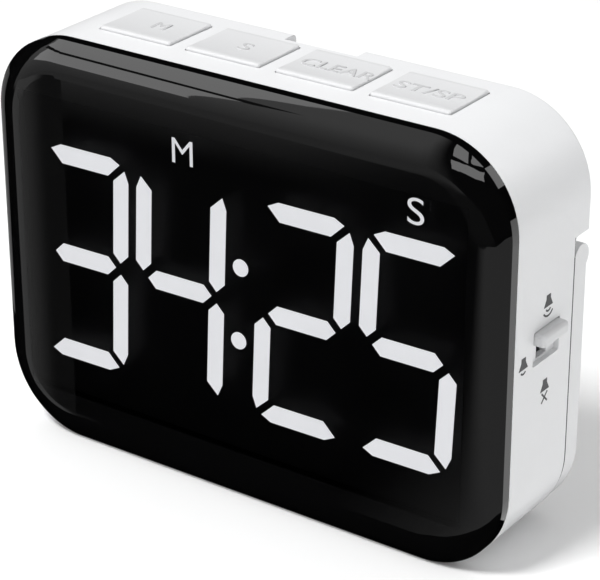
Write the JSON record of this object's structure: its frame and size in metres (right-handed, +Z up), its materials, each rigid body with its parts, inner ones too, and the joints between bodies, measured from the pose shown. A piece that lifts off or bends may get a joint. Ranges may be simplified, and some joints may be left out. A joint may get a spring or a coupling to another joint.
{
  "type": "kitchen timer",
  "caption": "Digital countdown kitchen timer: rounded rectangular case, domed front cover with large numerals, top push buttons, side volume slider and fold-out rear stand.",
  "frame": {"origin": "middle of the flat base of the case", "axes": "+Z up, -Y out of the display, +X to the volume slider's side"},
  "size_m": [0.0897, 0.0235, 0.065],
  "materials": {
    "case_white": "fine matt moulded",
    "stand_white": "fine matt moulded",
    "button_white": "satin moulded",
    "lens_black": "high gloss smoked",
    "inner_black": "matt",
    "adhesive": "foam tape",
    "panel_glass": "dark display glass",
    "segment_white": "lit",
    "guide_clear": "translucent",
    "board_green": "solder mask",
    "steel": "zinc plated",
    "magnet_nickel": "nickel plated",
    "plunger_grey": "matt",
    "cell_wrap": "printed sleeve",
    "can_black": "sleeve",
    "lead_red": "insulation",
    "lead_black": "insulation"
  },
  "bodies": {
    "case": {"case_shell": "case_white", "front_lens": "lens_black", "front_frame": "inner_black", "key_switches": "inner_black", "slide_switch_body": "inner_black", "piezo_buzzer": "inner_black", "controller_chip": "inner_black", "lens_adhesive": "adhesive", "lcd_connector": "adhesive", "lcd_panel": "panel_glass", "display_segments": "segment_white", "light_guide": "guide_clear", "backlight_leds": "guide_clear", "main_board": "board_green", "key_board": "board_green", "board_screws": "steel", "case_screws_upper": "steel", "case_screws_lower": "steel", "key_board_screws": "steel", "quartz_crystal": "steel", "battery_springs": "steel", "battery_contact_plus": "steel", "battery_contact_minus": "steel", "battery_contact_bridge": "steel", "board_link_pins": "steel", "rear_magnets": "magnet_nickel", "battery_upper": "cell_wrap", "battery_lower": "cell_wrap", "capacitor": "can_black", "battery_lead_red": "lead_red", "battery_lead_black": "lead_black"},
    "minutes_key": {"minutes_button": "button_white", "minutes_plunger": "plunger_grey"},
    "seconds_key": {"seconds_button": "button_white", "seconds_plunger": "plunger_grey"},
    "clear_key": {"clear_button": "button_white", "clear_plunger": "plunger_grey"},
    "start_key": {"start_button": "button_white", "start_plunger": "plunger_grey"},
    "volume": {"volume_knob": "button_white", "slide_switch_lever": "plunger_grey"},
    "stand": {"stand": "stand_white"},
    "battery_door": {"battery_door": "case_white"}
  },
  "joints": [
    {"name": "minutes_press", "type": "slide", "parent": "case", "child": "minutes_key", "axis": [0, 0, -1], "range_m": [0, 0.0004], "stiffness_N_per_m": 800},
    {"name": "seconds_press", "type": "slide", "parent": "case", "child": "seconds_key", "axis": [0, 0, -1], "range_m": [0, 0.0004], "stiffness_N_per_m": 800},
    {"name": "clear_press", "type": "slide", "parent": "case", "child": "clear_key", "axis": [0, 0, -1], "range_m": [0, 0.0004], "stiffness_N_per_m": 800},
    {"name": "start_press", "type": "slide", "parent": "case", "child": "start_key", "axis": [0, 0, -1], "range_m": [0, 0.0004], "stiffness_N_per_m": 800},
    {"name": "volume_slide", "type": "slide", "parent": "case", "child": "volume", "axis": [0, 0, -1], "range_m": [0, 0.003]},
    {"name": "stand_fold", "type": "hinge", "parent": "case", "child": "stand", "pos_m": [0, 0.00773, 0.0429], "axis": [1, 0, 0], "range_deg": [0, 60]},
    {"name": "battery_door_pull", "type": "slide", "parent": "case", "child": "battery_door", "axis": [0, 1, 0], "range_m": [0, 0.015]}
  ]
}
